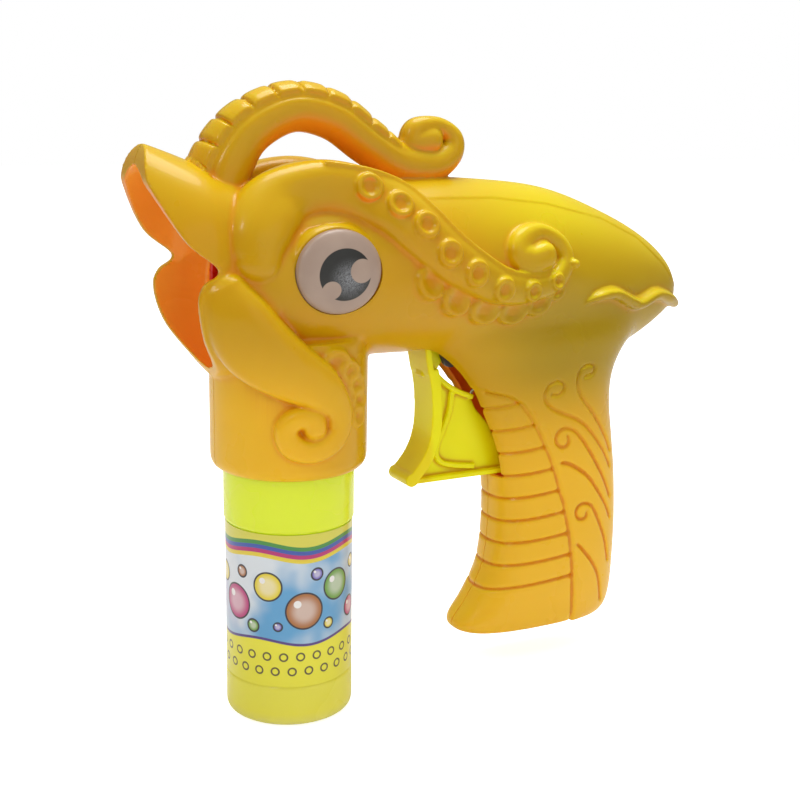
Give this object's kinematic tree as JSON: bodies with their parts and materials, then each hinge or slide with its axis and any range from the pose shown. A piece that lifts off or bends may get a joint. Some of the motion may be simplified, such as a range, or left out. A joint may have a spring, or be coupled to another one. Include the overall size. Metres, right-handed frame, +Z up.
{
  "type": "bubble blower",
  "caption": "Trigger-operated toy bubble blower moulded as a yellow octopus, with a grip, a screw-in bottle as its foot and a hand-cranked gear train that drives a fan and a hose pump.",
  "frame": {"origin": "centre of the flat base of the bottle", "axes": "+Z up the bottle's axis, -X toward the mouth that blows the bubbles, -Y to the left half, which the picture shows"},
  "size_m": [0.1806, 0.0563, 0.1812],
  "materials": {
    "shell": "glossy yellow-orange moulding, slightly translucent",
    "trigger": "bright yellow moulding",
    "eye": "glossy off-white with a printed dark pupil",
    "ring": "glossy red moulding",
    "gearbox": "matt dark grey moulding",
    "gear": "matt off-white moulding",
    "bottle": "neon green-yellow, translucent",
    "label": "printed film sleeve",
    "seal": "matt off-white foam rubber",
    "hose": "clear vinyl",
    "steel": "bright steel"
  },
  "bodies": {
    "blower": {"left_shell": "shell", "right_shell": "shell", "left_eye": "eye", "right_eye": "eye", "screw_1": "steel", "screw_2": "steel", "screw_3": "steel", "screw_4": "steel", "screw_5": "steel", "screw_6": "steel", "bottle_socket": "gear", "dip_tube": "hose", "pump_hose": "hose", "bubble_ring": "ring", "fan_housing": "gearbox", "fan_cover": "gearbox", "gear_plate_left": "gearbox", "gear_plate_right": "gearbox", "gear_1_axle": "steel", "trigger_pin": "steel", "trigger_spring": "steel"},
    "trigger": {"trigger": "trigger"},
    "gear_1": {"gear_1": "gear"},
    "gear_2": {"gear_2": "gear", "gear_2_axle": "steel", "pump_rotor": "gear"},
    "fan": {"fan": "gear", "fan_axle": "steel", "fan_pinion": "gear"},
    "bottle_seal": {"bottle_seal": "seal"},
    "bottle": {"bottle": "bottle", "bottle_label": "label"}
  },
  "joints": [
    {"name": "trigger_pull", "type": "hinge", "parent": "blower", "child": "trigger", "pos_m": [0.05, 0, 0.1105], "axis": [0, -1, 0], "range_deg": [0, 20], "stiffness_Nm_per_rad": 0.15, "springref_deg": -14.32, "deforming": ["trigger_spring"]},
    {"name": "gear_1_spin", "type": "hinge", "parent": "blower", "child": "gear_1", "pos_m": [0.05703, 0, 0.12707], "axis": [0, 1, 0], "range_deg": [0, 70]},
    {"name": "gear_2_spin", "type": "hinge", "parent": "blower", "child": "gear_2", "pos_m": [0.04325, 0, 0.1295], "axis": [0, -1, 0], "range_deg": [0, 175]},
    {"name": "fan_spin", "type": "hinge", "parent": "blower", "child": "fan", "pos_m": [0.02938, 0, 0.12755], "axis": [0, 1, 0], "range_deg": [0, 437.5]},
    {"name": "bottle_drop", "type": "slide", "parent": "blower", "child": "bottle_seal", "axis": [0, 0, -1], "range_m": [0, 0.007]},
    {"name": "bottle_turn", "type": "hinge", "parent": "bottle_seal", "child": "bottle", "pos_m": [0, 0, 0.094], "axis": [0, 0, -1], "range_deg": [0, 720]}
  ],
  "couplings": [
    {"joint": "gear_1_spin", "follows": "trigger_pull", "ratio": 3.5},
    {"joint": "gear_2_spin", "follows": "trigger_pull", "ratio": 8.75},
    {"joint": "fan_spin", "follows": "trigger_pull", "ratio": 21.875},
    {"joint": "bottle_drop", "follows": "bottle_turn", "m_per_rad": 0.00055704}
  ]
}
